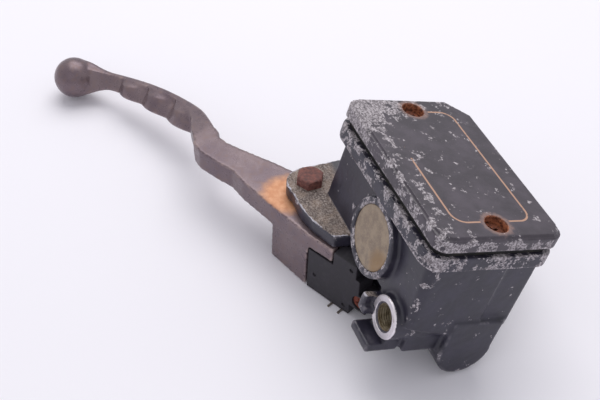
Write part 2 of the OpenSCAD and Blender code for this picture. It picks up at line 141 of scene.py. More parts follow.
class Paint:
    """One procedural material, made with short calls. Feature sizes are in millimetres."""

    def __init__(self, name, **sockets):
        self.material = bpy.data.materials.new(name)
        self.material.use_nodes = True
        self.tree = self.material.node_tree
        self.shader = self.tree.nodes["Principled BSDF"]
        self.place = self.node("ShaderNodeTexCoord").outputs["Object"]
        for socket, value in sockets.items():
            self.shader.inputs[socket.replace("_", " ")].default_value = value

    def node(self, kind, inputs=(), **settings):
        """Adds a shader node with its settings, and feeds its inputs."""
        made = self.tree.nodes.new(kind)
        for name, value in settings.items():
            setattr(made, name, value)
        for socket, value in dict(inputs).items():
            self.feed(made.inputs[socket], value)
        return made

    def feed(self, socket, value):
        """Links a socket to another one, or sets its value."""
        if isinstance(value, bpy.types.NodeSocket):
            self.tree.links.new(value, socket)
        else:
            socket.default_value = value

    def maths(self, operation, a, b=0.0):
        return self.node("ShaderNodeMath", {0: a, 1: b}, operation=operation).outputs[0]

    def add(self, *terms):
        total = terms[0]
        for term in terms[1:]:
            total = self.maths("ADD", total, term)
        return total

    def times(self, a, b):
        return self.maths("MULTIPLY", a, b)

    def length(self, a, b):
        """The length of a line that reaches a and b along two axes."""
        return self.maths("SQRT", self.add(self.maths("POWER", a, 2.0), self.maths("POWER", b, 2.0)))

    def step(self, value, low, high, start=0.0, end=1.0):
        """Runs from start to end as value goes from low to high, smoothly."""
        inputs = {"Value": value, "From Min": low, "From Max": high, "To Min": start, "To Max": end}
        return self.node("ShaderNodeMapRange", inputs, interpolation_type="SMOOTHSTEP").outputs[0]

    def clouds(self, size, detail=4.0, rough=0.55):
        """Fractal noise, 0 to 1, with features of a size in millimetres."""
        inputs = {"Vector": self.place, "Scale": 1 / (size * MM), "Detail": detail, "Roughness": rough}
        return self.node("ShaderNodeTexNoise", inputs).outputs[0]

    def specks(self, size, share):
        """Small round spots in a share of cells of a size."""
        cells = self.node("ShaderNodeTexVoronoi", {"Vector": self.place, "Scale": 1 / (size * MM)}).outputs
        chosen = self.maths("LESS_THAN", cells["Color"], share)
        return self.times(self.step(cells["Distance"], 0.34, 0.16), chosen)

    def mix(self, share, a, b):
        inputs = {0: share, 6: a, 7: b}
        return self.node("ShaderNodeMix", inputs, data_type="RGBA").outputs[2]

    def around(self, point, inner, outer):
        """1 within inner millimetres of a point, 0 beyond outer ones."""
        inputs = {0: self.place, 1: point}
        distance = self.node("ShaderNodeVectorMath", inputs, operation="DISTANCE").outputs["Value"]
        return self.step(distance, outer * MM, inner * MM)

    def seen_in(self, matrix):
        """Places measured in another frame, which the matrix takes to the row frame."""
        inputs = {"Vector": self.place, "Location": matrix.to_translation(), "Rotation": matrix.to_euler()}
        return self.node("ShaderNodeMapping", inputs, vector_type="TEXTURE").outputs[0]

    def parts(self, place):
        """The three numbers of a place."""
        return list(self.node("ShaderNodeSeparateXYZ", {0: place}).outputs)

    def mark(self, name):
        """A value that the mesh carries at each point."""
        return self.node("ShaderNodeAttribute", attribute_name=name).outputs["Fac"]

    def facing(self, axis):
        """How far the surface faces along an axis, from -1 to 1."""
        inputs = {0: self.node("ShaderNodeNewGeometry").outputs["True Normal"], 1: axis}
        return self.node("ShaderNodeVectorMath", inputs, operation="DOT_PRODUCT").outputs["Value"]

    def bump(self, height, depth, under=None):
        """Raises the surface by height times depth millimetres."""
        inputs = {"Height": height, "Distance": depth * MM, "Strength": 1.0}
        if under is not None:
            inputs["Normal"] = under
        return self.node("ShaderNodeBump", inputs).outputs[0]

    def finish(self, colour, roughness=None, normal=None):
        """Feeds the shader and gives the material."""
        self.feed(self.shader.inputs["Base Color"], colour)
        for socket, value in (("Roughness", roughness), ("Normal", normal)):
            if value is not None:
                self.feed(self.shader.inputs[socket], value)
        return self.material


def chipped_black(name, base, wear_of):
    """Satin black paint on cast aluminium. wear_of gives where more of it has come off.

    Gives the paint with its colour, roughness and normal, so that more can be laid over them.
    """
    paint = Paint(name)
    patches = paint.clouds(4.2, 6, 0.60)
    fine = paint.clouds(0.8, 5, 0.66)
    edge = paint.mark("edge")
    worn = wear_of(paint, paint.parts(paint.seen_in(res_to_row)), edge)
    score = paint.add(paint.times(patches, 0.80), paint.times(fine, 0.20), worn)
    bare = paint.step(score, 0.59, 0.63)
    specks = paint.maths("MAXIMUM", paint.specks(1.9, 0.22), paint.specks(0.9, 0.12))
    specks = paint.times(specks, paint.step(score, 0.50, 0.58))
    bare = paint.maths("MAXIMUM", bare, specks)
    dust = paint.step(paint.clouds(9, 5, 0.6), 0.35, 0.75)
    coat = paint.mix(dust, base, times_colour(base, 1.7))
    rubbed = paint.times(paint.step(edge, 0.3, 1.0), paint.step(patches, 0.42, 0.62))
    coat = paint.mix(rubbed, coat, rgb(104, 100, 108))
    crust = paint.mix(paint.step(fine, 0.40, 0.66), rgb(108, 101, 106), rgb(198, 191, 196))
    colour = paint.mix(bare, coat, crust)
    grain = paint.clouds(0.45, 3, 0.6)
    crusty = paint.times(paint.times(fine, bare), 1.6)
    relief = paint.add(paint.times(grain, 0.35), paint.times(bare, -1.0), crusty)
    rough = paint.add(paint.step(bare, 0, 1, 0.33, 0.70), paint.times(dust, 0.10))
    return paint, colour, rough, paint.bump(relief, 0.09)


def body_paint():
    """The body's paint is worn on the flange, round the front window and along its edges."""
    def wear(paint, res, edge):
        u, v, w = res
        flange = paint.times(paint.step(w, -16.0 * MM, -14.6 * MM), paint.step(w, -7.0 * MM, -8.5 * MM))
        boss = in_res(window_at[0] + 1, window_at[1], window_at[2])
        rim = paint.around(boss, window_r + 1.9, window_r + 2.8)
        rim = paint.times(rim, paint.step(v, 23.5 * MM, 25.2 * MM))
        front_corner = paint.times(paint.step(u, -31.0 * MM, -36.5 * MM), paint.step(v, 15.0 * MM, 21.0 * MM))
        ear = paint.around((pivot.x - 10 * MM, pivot.y + 4 * MM, ear_top * MM), 14, 26)
        ear = paint.times(ear, paint.step(edge, 0.2, 0.7))
        upper = paint.step(w, -44.0 * MM, -36.0 * MM)
        return paint.add(paint.times(paint.times(edge, upper), 0.075), paint.times(flange, 0.105),
                         paint.times(rim, 0.10), paint.times(front_corner, 0.055),
                         paint.times(ear, 0.035), -0.03)
    paint, *looks = chipped_black("black_casting", rgb(42, 40, 52), wear)
    return corrode_ear(paint, *looks)


def corrode_ear(paint, colour, rough, relief):
    """The ear's top under the bolt is bare, grey-brown and granular, with a pale crust along its edge."""
    y, z = paint.parts(paint.place)[1:]
    level = paint.times(paint.step(z, (ear_top - 0.9) * MM, (ear_top - 0.3) * MM),
                        paint.step(z, (ear_top + 0.9) * MM, (ear_top + 0.3) * MM))
    top = paint.times(level, paint.step(paint.facing((0, 0, 1)), 0.55, 0.85))
    top = paint.times(top, paint.step(y, 47.0 * MM, 51.0 * MM))
    grit = paint.clouds(0.7, 6, 0.72)
    blotch = paint.clouds(5, 4, 0.6)
    dark = paint.mix(paint.step(blotch, 0.4, 0.65), rgb(98, 86, 82), rgb(136, 119, 108))
    granular = paint.mix(paint.step(grit, 0.42, 0.70), dark, rgb(182, 170, 164))
    granular = paint.mix(paint.step(grit, 0.42, 0.34), granular, rgb(52, 46, 46))
    crust = paint.step(paint.add(paint.times(paint.mark("edge"), 0.35), paint.times(blotch, 0.9)), 0.66, 0.78)
    granular = paint.mix(crust, granular, rgb(205, 202, 212))
    rough = paint.node("ShaderNodeMix", {0: top, 2: rough, 3: 0.8}).outputs[0]
    relief = paint.bump(paint.times(grit, top), 0.5, relief)
    return paint.finish(paint.mix(top, colour, granular), rough, relief)


def cap_paint():
    """The cap's paint is worn towards its front outboard corner and on its sides."""
    def wear(paint, res, edge):
        u, v, w = res
        front = paint.step(v, 4.0 * MM, 24.0 * MM)
        corner = paint.around(in_res(cap_half_x, cap_half_y, 0), 6, 34)
        outboard = paint.step(u, 22.0 * MM, 40.0 * MM)
        side = paint.step(w, -0.8 * MM, -2.5 * MM)
        inboard = paint.times(side, paint.step(u, -35.0 * MM, -39.0 * MM))
        return paint.add(paint.times(edge, 0.06), paint.times(front, 0.06), paint.times(corner, 0.12),
                         paint.times(outboard, 0.06), paint.times(inboard, 0.09),
                         paint.times(side, 0.03), -0.008)
    paint, colour, rough, relief = chipped_black("cap_paint", rgb(62, 56, 64), wear)
    return paint.finish(frame_line(paint, colour), rough, relief)


def frame_line(paint, colour):
    """Adds a plain printed line round the cap's top, partly worn away, and the rust round the screw holes."""
    u, v, w = paint.parts(paint.seen_in(res_to_row))
    half_x, half_y, corner, half_line = 31.4 * MM, 15.8 * MM, 5.0 * MM, 0.32 * MM
    over_x = paint.maths("SUBTRACT", paint.maths("ABSOLUTE", u), half_x - corner)
    over_y = paint.maths("SUBTRACT", paint.maths("ABSOLUTE", v), half_y - corner)
    outside = paint.length(paint.maths("MAXIMUM", over_x, 0.0), paint.maths("MAXIMUM", over_y, 0.0))
    inside = paint.maths("MINIMUM", paint.maths("MAXIMUM", over_x, over_y), 0.0)
    away = paint.maths("ABSOLUTE", paint.maths("SUBTRACT", paint.add(outside, inside), corner))
    line = paint.step(away, half_line + 0.1 * MM, half_line)
    line = paint.times(line, paint.step(w, -0.6 * MM, -0.3 * MM))
    hole = paint.length(paint.maths("SUBTRACT", paint.maths("ABSOLUTE", u), screw_x * MM), v)
    line = paint.times(line, paint.step(hole, 5.8 * MM, 6.2 * MM))
    # The line is worn away towards the front outboard corner
    kept = paint.add(paint.clouds(3.0, 6, 0.7), paint.times(paint.around(in_res(24, 18, 0), 12, 30), -0.35))
    line = paint.times(line, paint.step(kept, 0.30, 0.40))
    colour = paint.mix(line, colour, rgb(186, 146, 124))
    # Rust has run out of the two screw holes
    near = paint.step(hole, 8.5 * MM, 4.5 * MM, 0.0, 0.35)
    stain = paint.add(near, paint.times(paint.clouds(2.2, 6, 0.7), 0.5))
    stain = paint.times(paint.step(stain, 0.42, 0.62), paint.step(hole, 10.0 * MM, 6.2 * MM))
    colour = paint.mix(paint.times(stain, 0.55), colour, rgb(160, 128, 118))
    walls = paint.mix(paint.step(paint.clouds(1.8, 5, 0.7), 0.38, 0.62), rgb(84, 46, 34), rgb(176, 112, 82))
    return paint.mix(paint.step(hole, 4.7 * MM, 4.4 * MM), colour, walls)


def lever_paint():
    """Worn bronze-grey metal, rubbed bright on its edges, with rust round the pivot."""
    paint = Paint("worn_bronze_grey", Metallic=0.45)
    broad = paint.clouds(14, 4, 0.55)
    mottle = paint.clouds(2.6, 5, 0.62)
    grain = paint.clouds(0.5, 3, 0.6)
    edge = paint.mark("edge")
    colour = paint.mix(paint.step(broad, 0.3, 0.7), rgb(106, 91, 99), rgb(124, 108, 112))
    colour = paint.mix(paint.times(paint.step(mottle, 0.48, 0.72), 0.35), colour, rgb(134, 108, 98))
    rubbed = paint.times(paint.step(edge, 0.2, 1.0), paint.step(mottle, 0.38, 0.62))
    colour = paint.mix(paint.times(rubbed, 0.6), colour, rgb(186, 166, 162))
    pits = paint.specks(2.4, 0.05)
    colour = paint.mix(paint.times(pits, 0.7), colour, rgb(70, 52, 48))
    # Rust has spread over the arm's top round the ear
    near = paint.around((pivot.x + 2 * MM, pivot.y + 8 * MM, hub_top * MM), 4, 17)
    rust = paint.add(near, paint.times(mottle, 0.5), -0.28)
    rust = paint.times(paint.step(rust, 0.10, 0.80), paint.step(paint.facing((0, 0, 1)), 0.3, 0.7))
    orange = paint.mix(paint.step(mottle, 0.25, 0.75), rgb(190, 132, 96), rgb(212, 162, 128))
    colour = paint.mix(rust, colour, orange)
    rough = paint.step(paint.add(mottle, paint.times(rust, 0.5)), 0.3, 0.9, 0.24, 0.55)
    relief = paint.add(paint.times(grain, 0.5), paint.times(mottle, 0.5), paint.times(pits, -1.0))
    return paint.finish(colour, rough, paint.bump(relief, 0.05))


def rust_paint(name, deep, light):
    """Rough rust with darker grains."""
    paint = Paint(name)
    coarse = paint.clouds(1.6, 6, 0.7)
    grit = paint.clouds(0.35, 4, 0.65)
    colour = paint.mix(paint.step(coarse, 0.35, 0.65), deep, light)
    colour = paint.mix(paint.times(paint.step(grit, 0.55, 0.7), 0.5), colour, times_colour(deep, 0.45))
    rough = paint.step(coarse, 0.3, 0.7, 0.55, 0.85)
    return paint.finish(colour, rough, paint.bump(paint.add(coarse, grit), 0.12))


def window_paint(name, tint_at):
    """A sight glass of clear plastic that has gone yellow, clouded and browner at one side."""
    paint = Paint(name, Coat_Weight=0.35, Coat_Roughness=0.25)
    cloud = paint.clouds(3.5, 5, 0.6)
    fine = paint.clouds(0.6, 5, 0.7)
    colour = paint.mix(paint.step(cloud, 0.35, 0.65), rgb(122, 103, 84), rgb(146, 127, 104))
    colour = paint.mix(paint.times(paint.step(fine, 0.5, 0.66), 0.4), colour, rgb(172, 158, 134))
    tint = paint.add(paint.around(tint_at, 1, 11), paint.times(cloud, 0.5), -0.25)
    colour = paint.mix(paint.step(tint, 0.2, 0.9, 0.0, 0.7), colour, rgb(134, 98, 40))
    colour = paint.mix(paint.times(paint.specks(1.6, 0.08), 0.6), colour, rgb(196, 186, 176))
    rough = paint.step(fine, 0.3, 0.7, 0.35, 0.6)
    return paint.finish(colour, rough, paint.bump(paint.add(cloud, fine), 0.05))


def turned_paint():
    """Bright machined aluminium with fine turning marks round the port."""
    paint = Paint("machined_aluminium", Metallic=0.85)
    turn = Vector((0, 0, 1)).rotation_difference(port_axis).to_matrix().to_4x4()
    turn = Matrix.Translation(port_mouth) @ turn
    u, v = paint.parts(paint.seen_in(turn))[:2]
    radius = paint.length(u, v)
    groove_gap = 0.28 * MM
    grooves = paint.maths("SINE", paint.times(radius, 2 * math.pi / groove_gap))
    stain = paint.clouds(1.8, 6, 0.7)
    colour = paint.mix(paint.step(stain, 0.52, 0.75), rgb(236, 230, 235), rgb(176, 164, 158))
    colour = paint.mix(paint.times(paint.specks(1.3, 0.05), 0.6), colour, rgb(112, 100, 90))
    rough = paint.step(stain, 0.3, 0.8, 0.28, 0.5)
    return paint.finish(colour, rough, paint.bump(paint.add(grooves, paint.times(stain, 2.0)), 0.02))


def plain_metal(name, colour, dull, metallic, rough):
    """Plated or bare metal with dull blotches and a fine grain."""
    paint = Paint(name, Metallic=metallic)
    blotch = paint.clouds(2.2, 5, 0.65)
    grain = paint.clouds(0.3, 3, 0.6)
    mixed = paint.mix(paint.step(blotch, 0.4, 0.65), colour, dull)
    return paint.finish(mixed, paint.step(blotch, 0.3, 0.7, rough, rough + 0.25),
                        paint.bump(paint.add(blotch, grain), 0.03))


def moulded(name, colour, dirt, rough):
    """Rubber or moulded plastic with a fine grain and some dirt on it."""
    paint = Paint(name)
    dust = paint.clouds(3.0, 6, 0.68)
    grain = paint.clouds(0.35, 3, 0.6)
    mixed = paint.mix(paint.times(paint.step(dust, 0.45, 0.75), 0.6), colour, dirt)
    return paint.finish(mixed, paint.step(dust, 0.3, 0.7, rough, rough + 0.2), paint.bump(grain, 0.04))


body_black = body_paint()
cap_black = cap_paint()
lever_bronze = lever_paint()
bolt_rust = rust_paint("rusty_bolt", rgb(84, 46, 44), rgb(132, 84, 76))
screw_rust = rust_paint("rusty_screw", rgb(70, 34, 24), rgb(140, 80, 54))
switch_rust = rust_paint("rusty_switch_screw", rgb(96, 40, 30), rgb(142, 70, 50))
aluminium = turned_paint()
thread_metal = plain_metal("stained_thread", rgb(150, 138, 116), rgb(112, 98, 76), 0.8, 0.3)
zinc = plain_metal("dull_zinc", rgb(150, 142, 136), rgb(98, 84, 74), 0.75, 0.35)
spring_steel = plain_metal("spring_steel", rgb(170, 168, 170), rgb(120, 116, 114), 0.9, 0.3)
bush_brass = plain_metal("bush_brass", rgb(176, 146, 84), rgb(120, 96, 58), 0.9, 0.35)
black_rubber = moulded("black_rubber", rgb(24, 23, 25), rgb(66, 62, 52), 0.62)
switch_black = moulded("switch_plastic", rgb(40, 37, 44), rgb(70, 66, 74), 0.55)
pale_plastic = moulded("pale_plastic", rgb(206, 198, 176), rgb(150, 140, 118), 0.5)


# ---------------------------------------------------------------- mesh helpers

def put(name, mesh, material, body, stands_for=()):
    """Puts a mesh in the scene as a piece that rides on a CAD body and may stand for CAD nodes."""
    piece = bpy.data.objects.new(name, mesh)
    bpy.context.scene.collection.objects.link(piece)
    dress(piece, material)
    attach(piece, body)
    if stands_for:
        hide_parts(*stands_for)
    return piece


def dress(piece, material):
    """Gives a piece its material."""
    piece.data.materials.clear()
    piece.data.materials.append(material)


def mesh_of(bm, name):
    """Turns a bmesh into a mesh and frees it."""
    mesh = bpy.data.meshes.new(name)
    bm.to_mesh(mesh)
    bm.free()
    return mesh


def copy_of(*names):
    """One bmesh with copies of CAD nodes, their split points joined."""
    bm = bmesh.new()
    for name in names:
        bm.from_mesh(nodes[name].data)
    bmesh.ops.remove_doubles(bm, verts=bm.verts, dist=1e-7)
    return bm


def settle(mesh, *modifiers):
    """Runs modifiers on a mesh and returns the mesh that they make. Each is (type, its settings)."""
    holder = bpy.data.objects.new("settle", mesh)
    bpy.context.scene.collection.objects.link(holder)
    for kind, settings in modifiers:
        modifier = holder.modifiers.new(kind, kind)
        for name, value in settings.items():
            setattr(modifier, name, value)
    made = bpy.data.meshes.new_from_object(holder.evaluated_get(bpy.context.evaluated_depsgraph_get()))
    bpy.data.objects.remove(holder)
    bpy.data.meshes.remove(mesh)
    return made


def cast(bm, name, voxel, rounds, grid, faces, rough=0.0):
    """A cast look with round edges and an uneven skin, rebuilt on an even grid laid along a frame."""
    bm.transform(grid.inverted())
    mesh = mesh_of(bm, name)
    mesh = settle(mesh, ("REMESH", {"mode": "VOXEL", "voxel_size": voxel * MM, "adaptivity": 0.0}),
                  ("SMOOTH", {"factor": 0.5, "iterations": rounds}))
    mesh.transform(grid)
    mark_edges(mesh)
    if rough:
        roughen(mesh, rough)
    if len(mesh.polygons) * 2 > faces:
        mesh = settle(mesh, ("DECIMATE", {"ratio": faces / (len(mesh.polygons) * 2)}))
    stay_inside(mesh)
    mesh.shade_smooth()
    return mesh


def stay_inside(mesh):
    """Moves points that stand outside the CAD's box, by a hair, back onto it."""
    points = read(mesh)[0]
    mesh.vertices.foreach_set("co", np.clip(points, cad_box[0], cad_box[1]).ravel())
    mesh.update()


def read(mesh):
    """A mesh's points, their normals, and its edges, as arrays."""
    count = len(mesh.vertices)
    points, normals = np.empty(count * 3), np.empty(count * 3)
    ends = np.empty(len(mesh.edges) * 2, int)
    mesh.vertices.foreach_get("co", points)
    mesh.vertices.foreach_get("normal", normals)
    mesh.edges.foreach_get("vertices", ends)
    return points.reshape(-1, 3), normals.reshape(-1, 3), ends.reshape(-1, 2)


def spread(values, ends, rounds):
    """Averages values with those of neighbouring points, a number of times."""
    count = len(values)
    share = np.bincount(ends.ravel(), minlength=count) + 1.0
    for _ in range(rounds):
        total = values + np.bincount(ends[:, 0], values[ends[:, 1]], count)
        total += np.bincount(ends[:, 1], values[ends[:, 0]], count)
        values = total / share
    return values


def mark_edges(mesh):
    """Marks each point with how sharp an outer edge it lies on, from 0 to 1, for the materials to read."""
    points, normals, ends = read(mesh)
    count = len(points)
    share = np.maximum(np.bincount(ends.ravel(), minlength=count), 1)
    around = np.stack([np.bincount(ends[:, 0], points[ends[:, 1], k], count)
                       + np.bincount(ends[:, 1], points[ends[:, 0], k], count) for k in range(3)], 1)
    size = np.linalg.norm(points[ends[:, 0]] - points[ends[:, 1]], axis=1).mean()
    bend = ((points - around / share[:, None]) * normals).sum(1) / size
    bend = spread(np.clip(bend, 0, 0.25) / 0.25, ends, 3)
    edge = mesh.attributes.new("edge", "FLOAT", "POINT")
    edge.data.foreach_set("value", np.clip(bend * 2.2, 0, 1).astype(np.float32))


def roughen(mesh, depth):
    """Moves the points in and out by a little, as a casting's skin is."""
    points, normals = read(mesh)[:2]
    lump = 2.5 * MM
    lumps = [noise.noise(Vector(p)) + 0.5 * noise.noise(Vector(p) * 2.3) for p in points / lump]
    points += normals * (np.array(lumps) * depth * MM)[:, None]
    mesh.vertices.foreach_set("co", points.ravel())
    mesh.update()


def loft(rings):
    """A closed solid through rings of points, each ring with the same number of points."""
    bm = bmesh.new()
    loops = [[bm.verts.new(p) for p in ring] for ring in rings]
    for a, b in zip(loops, loops[1:]):
        for i in range(len(a)):
            j = (i + 1) % len(a)
            bm.faces.new((a[i], a[j], b[j], b[i]))
    bm.faces.new(loops[0])
    bm.faces.new(loops[-1])
    bmesh.ops.recalc_face_normals(bm, faces=bm.faces)
    return bm


def ring_at(radius, height, place, sides):
    """Points of a circle round a frame's Z, in millimetres from its zero."""
    angles = [2 * math.pi * k / sides for k in range(sides)]
    return [place @ (Vector((radius * math.cos(a), radius * math.sin(a), height)) * MM) for a in angles]


def lathe(profile, place, sides):
    """A solid of revolution. profile is a closed outline of (radius, height), turned round a frame's Z."""
    bm = bmesh.new()
    loops = [[bm.verts.new(p) for p in ring_at(r, h, place, sides)] for r, h in profile]
    for a, b in zip(loops, loops[1:] + loops[:1]):
        for i in range(sides):
            j = (i + 1) % sides
            bm.faces.new((a[i], a[j], b[j], b[i]))
    bmesh.ops.remove_doubles(bm, verts=bm.verts, dist=1e-7)
    bmesh.ops.recalc_face_normals(bm, faces=bm.faces)
    return bm


def frame_at(place, up, side=(1, 0, 0)):
    """A frame at a place, with its Z along up and its X as near side as can be."""
    z = Vector(up).normalized()
    x = (Vector(side) - z * z.dot(Vector(side))).normalized()
    y = z.cross(x)
    turn = Matrix((x, y, z)).transposed().to_4x4()
    return Matrix.Translation(Vector(place)) @ turn


def curve_through(table, at):
    """Smooth values of each column after the first, at places along the first column (Catmull-Rom)."""
    table = np.array(table, float)
    keys = table[:, 0]
    slopes = np.gradient(table[:, 1:], keys, axis=0)
    k = int(np.clip(np.searchsorted(keys, at) - 1, 0, len(keys) - 2))
    gap = keys[k + 1] - keys[k]
    t = np.clip((at - keys[k]) / gap, 0, 1)
    a, b = table[k, 1:], table[k + 1, 1:]
    return ((2 * t**3 - 3 * t**2 + 1) * a + (t**3 - 2 * t**2 + t) * gap * slopes[k]
            + (3 * t**2 - 2 * t**3) * b + (t**3 - t**2) * gap * slopes[k + 1])


# ---------------------------------------------------------------- body casting

put("cast_body", cast(copy_of("body"), "cast_body", 0.55, 3, res_to_row, 190000, 0.05),
    body_black, "body", ["body"])


# ---------------------------------------------------------------- cap

put("cast_cap", cast(copy_of("reservoir_cap"), "cast_cap", 0.36, 3, res_to_row, 150000, 0.035),
    cap_black, "body", ["reservoir_cap"])


# ---------------------------------------------------------------- lever

# The blade runs to the ball in a straight line, as the CAD's does
BLADE_YAW = math.radians(28.3)
BLADE_DROOP = math.radians(7.8)
BLADE_LENGTH = 91.5
BALL_R = 9.6
ball_centre = Vector((157.8, 131.0, -10.2)) * MM
blade_x = Vector((math.cos(BLADE_YAW) * math.cos(BLADE_DROOP), math.sin(BLADE_YAW) * math.cos(BLADE_DROOP),
                  -math.sin(BLADE_DROOP)))
blade_y = Vector((-math.sin(BLADE_YAW), math.cos(BLADE_YAW), 0))
blade_z = blade_x.cross(blade_y)
blade_turn = Matrix((blade_x, blade_y, blade_z)).transposed().to_4x4()
blade_frame = Matrix.Translation(ball_centre - blade_x * (BLADE_LENGTH * MM)) @ blade_turn

# Each row, in millimetres: place along the blade, rear edge, front edge of the flat top strip, lower front
# edge, top, underside
BLADE = [
    (-3.0, -2.9, 8.6, 8.4, 4.3, -5.2),
    (0.0, -4.9, 7.6, 7.4, 4.95, -5.1),
    (4.5, -7.2, 4.4, 4.4, 5.15, -4.9),
    (9.0, -9.4, 0.8, 1.5, 5.0, -4.6),
    (13.0, -11.2, -3.0, -1.5, 4.7, -4.4),
    (19.0, -12.9, -7.0, -2.2, 4.3, -4.2),
    (25.5, -14.1, -9.6, -2.8, 3.9, -4.1),
    (35.0, -15.1, -11.4, -3.7, 3.6, -4.0),
    (50.0, -15.0, -10.8, -4.7, 3.5, -3.9),
    (61.0, -13.8, -9.9, -5.0, 3.4, -3.9),
    (70.0, -12.3, -8.8, -5.5, 3.3, -4.0),
    (75.0, -11.2, -7.6, -4.4, 3.4, -4.3),
    (79.0, -10.4, -6.0, -1.8, 3.9, -5.1),
    (82.0, -9.8, -4.2, 1.2, 4.7, -6.0),
    (85.0, -9.2, -2.6, 4.0, 5.7, -7.0),
    (88.0, -8.4, -1.2, 5.6, 6.6, -7.6),
    (90.0, -7.6, -0.6, 6.0, 7.0, -7.8)]
# The valleys between the finger pads, and the height of the plain blade beyond them
VALLEYS = [13.0, 31.8, 50.2, 67.1]
FLAT_PAD = 0.35
# The CAD's arm is cut here along the blade, and the rings start before the cut and end in the ball
ARM_CUT, FIRST_RING, LAST_RING, RING_COUNT = -1, -3.0, 90.0, 187


def pad(along):
    """Height of the finger pads along the blade, from 0 in a valley to 1 on a pad."""
    for inner, outer in zip(VALLEYS, VALLEYS[1:]):
        if inner <= along <= outer:
            t = (outer - along) / (outer - inner)
            # Each pad climbs fast out of its outer valley and falls slowly to the inner one
            return math.sin(math.pi * t**0.75) ** 1.3
    return FLAT_PAD


def blade_ring(along):
    """The blade's outline at one place along it."""
    rear, strip, low, top, under = curve_through(BLADE, along)
    h = pad(along) - FLAT_PAD
    pit = max(0.0, -h) if VALLEYS[0] + 2 < along else 0.0
    face = [(strip + (low - strip) * t, top + (under + 1.2 - top) * t) for t in (0.25, 0.5, 0.75)]
    outline = [
        (rear + 0.2, under + 1.8), (rear, 0.0), (rear + 0.3, top - 0.5), (rear + 1.2, top),
        (strip - 0.4, top), (strip + 1.0 * h, top - 0.4),
        (face[0][0] + 3.3 * h - 3.4 * pit, face[0][1] + 1.3 * h - 1.4 * pit),
        (face[1][0] + 3.6 * h - 0.8 * pit, face[1][1] + 1.2 * h),
        (face[2][0] + 2.8 * h, face[2][1] + 0.5 * h),
        (low + 1.5 * h, under + 1.2), (low - 1.2 + 1.2 * h, under), (rear + 2.5, under)]
    ring = []
    for (y0, z0), (y1, z1) in zip(outline, outline[1:] + outline[:1]):
        for t in (0.0, 0.5):
            point = Vector((along, y0 + (y1 - y0) * t, z0 + (z1 - z0) * t)) * MM
            ring.append(blade_frame @ point)
    return ring


def sculpted_lever():
    """The CAD lever's hub and arm, with a blade and a ball of a finer shape."""
    bm = copy_of("lever")
    everything = bm.verts[:] + bm.edges[:] + bm.faces[:]
    cut_at = blade_frame @ Vector((ARM_CUT * MM, 0, 0))
    cut = bmesh.ops.bisect_plane(bm, geom=everything, plane_co=cut_at, plane_no=blade_x, clear_outer=True)
    rim = [e for e in cut["geom_cut"] if isinstance(e, bmesh.types.BMEdge)]
    bmesh.ops.holes_fill(bm, edges=rim)
    blade = loft([blade_ring(s) for s in np.linspace(FIRST_RING, LAST_RING, RING_COUNT)])
    ball = bmesh.new()
    bmesh.ops.create_uvsphere(ball, u_segments=64, v_segments=32, radius=BALL_R * MM,
                              matrix=Matrix.Translation(ball_centre))
    for extra in (blade, ball):
        mesh = mesh_of(extra, "part")
        bm.from_mesh(mesh)
        bpy.data.meshes.remove(mesh)
    return cast(bm, "sculpted_lever", 0.5, 9, blade_frame, 150000)


put("sculpted_lever", sculpted_lever(), lever_bronze, "lever", ["lever"])


# ---------------------------------------------------------------- switch

# The grid lies along the switch's long side
SWITCH_YAW = math.radians(27)
switch_frame = frame_at((0, 0, 0), (0, 0, 1), (math.cos(SWITCH_YAW), math.sin(SWITCH_YAW), 0))
put("switch_case", cast(copy_of("switch_housing"), "switch_case", 0.2, 1, switch_frame, 90000),
    switch_black, "body", ["switch_housing"])


# ---------------------------------------------------------------- port

port_frame = frame_at(port_mouth, port_axis)
SEAT_R = 8.0
ring_profile = [(port_r + 0.15, -1.2), (port_r + 0.15, -0.7), (port_r + 0.75, 0.1), (SEAT_R - 0.35, 0.1),
                (SEAT_R, -0.25), (SEAT_R, -1.2)]
put("port_seat_ring", mesh_of(lathe(ring_profile, port_frame, 128), "port_seat_ring"),
    aluminium, "body")


def port_thread():
    """A thin sleeve in the port with a thread cut in its inside."""
    pitch, root, crest, outer = 1.0, port_r - 0.1, port_r - 0.7, port_r + 0.12
    first, sides, rows_per_turn = -0.6, 72, 10
    rows = int(port_depth * 0.8 / pitch * rows_per_turn)
    last = first - rows * pitch / rows_per_turn
    rings = [ring_at(outer, first, port_frame, sides)]
    for row in range(rows + 1):
        depth = first - row * pitch / rows_per_turn
        ring = []
        for k in range(sides):
            angle = 2 * math.pi * k / sides
            share = abs((depth / pitch + k / sides) % 1.0 - 0.5) * 2
            radius = crest + (root - crest) * min(share / 0.85, 1.0)
            point = Vector((radius * math.cos(angle), radius * math.sin(angle), depth))
            ring.append(port_frame @ (point * MM))
        rings.append(ring)
    rings.append(ring_at(outer, last, port_frame, sides))
    bm = bmesh.new()
    loops = [[bm.verts.new(p) for p in ring] for ring in rings]
    for a, b in zip(loops, loops[1:] + loops[:1]):
        for i in range(sides):
            j = (i + 1) % sides
            bm.faces.new((a[i], a[j], b[j], b[i]))
    bmesh.ops.recalc_face_normals(bm, faces=bm.faces)
    return mesh_of(bm, "port_thread")


put("port_thread", port_thread(), thread_metal, "body")


# ---------------------------------------------------------------- windows

